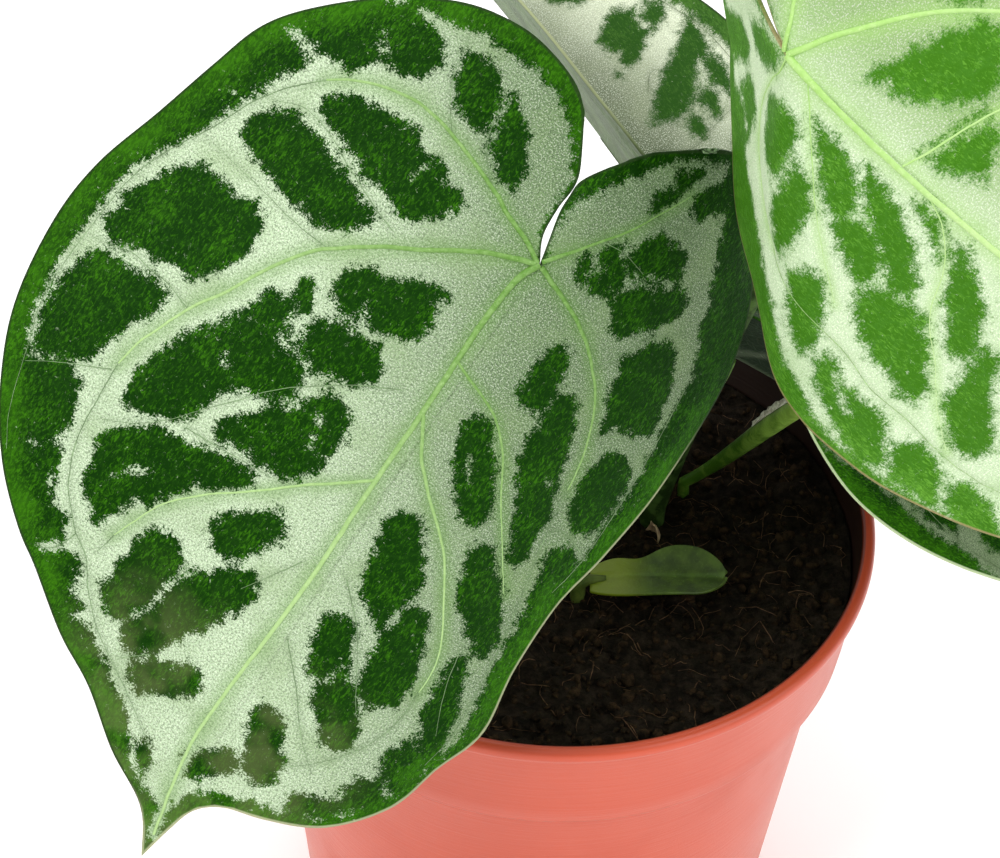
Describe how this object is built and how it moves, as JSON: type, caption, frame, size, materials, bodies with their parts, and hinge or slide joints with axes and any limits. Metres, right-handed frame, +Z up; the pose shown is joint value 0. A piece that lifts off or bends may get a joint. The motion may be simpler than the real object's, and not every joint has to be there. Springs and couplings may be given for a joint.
{
  "type": "potted anthurium",
  "caption": "Heart-leaved anthurium with silver-veined hanging leaves on upright stalks, standing in a filled round nursery pot with a broad collar",
  "frame": {"origin": "middle of the pot's flat base", "axes": "+Z up out of the pot, -Y toward the viewer of the picture, +X to the viewer's right"},
  "size_m": [0.2224, 0.156, 0.2826],
  "materials": {
    "pot": "satin terracotta-coloured moulded plastic",
    "soil": "damp fibrous peat",
    "crown": "dry brown stem and sheath",
    "leaf_front": "velvety dark green with silver veins",
    "leaf_right": "velvety mid green with silver veins",
    "leaf_back": "velvety grey-green with silver veins",
    "leaf_low": "velvety dark green with silver veins",
    "leaf_rear": "velvety dark green, pale underside",
    "young_leaf": "plain smooth green"
  },
  "bodies": {
    "root": {"pot": "pot", "soil": "soil", "crown": "crown", "leaf_front": "leaf_front", "leaf_right": "leaf_right", "leaf_back": "leaf_back", "leaf_low": "leaf_low", "leaf_rear": "leaf_rear", "young_leaf": "young_leaf"}
  },
  "joints": []
}
